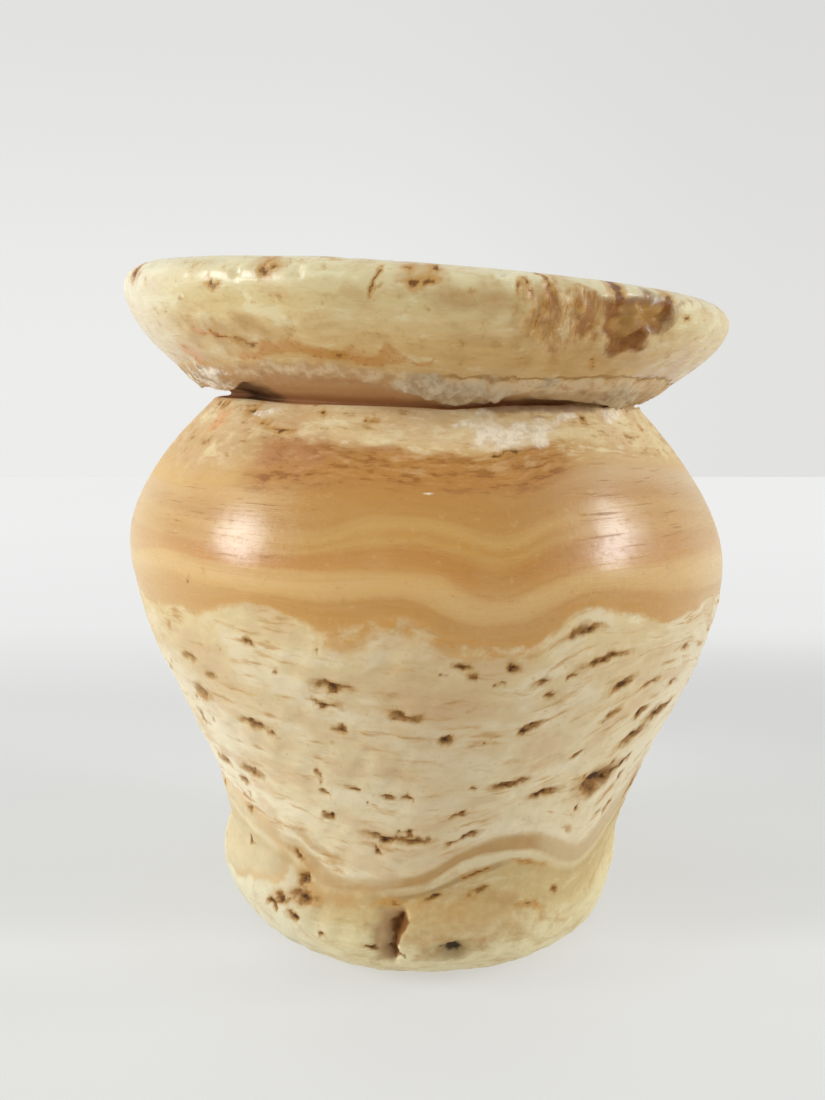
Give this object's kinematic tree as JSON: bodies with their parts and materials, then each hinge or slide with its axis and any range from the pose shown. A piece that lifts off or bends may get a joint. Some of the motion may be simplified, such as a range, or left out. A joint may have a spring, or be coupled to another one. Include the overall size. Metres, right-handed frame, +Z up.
{
  "type": "kohl pot",
  "caption": "Small squat stone jar for eye paint, carved in one block, with a worn foot, a thin cut neck groove, a broad flaring flat rim and a drilled bore.",
  "frame": {"origin": "centre of the underside, where the pot stands on a table", "axes": "+Z up, along the bore; -Y is the front, with the deep nick in the foot; +X is the side that the rim slopes down to"},
  "size_m": [0.0426, 0.0426, 0.0479],
  "materials": {
    "calcite": "polished banded calcite alabaster, worn, porous below the shoulder"
  },
  "bodies": {
    "root": {"kohl_pot": "calcite"}
  },
  "joints": []
}
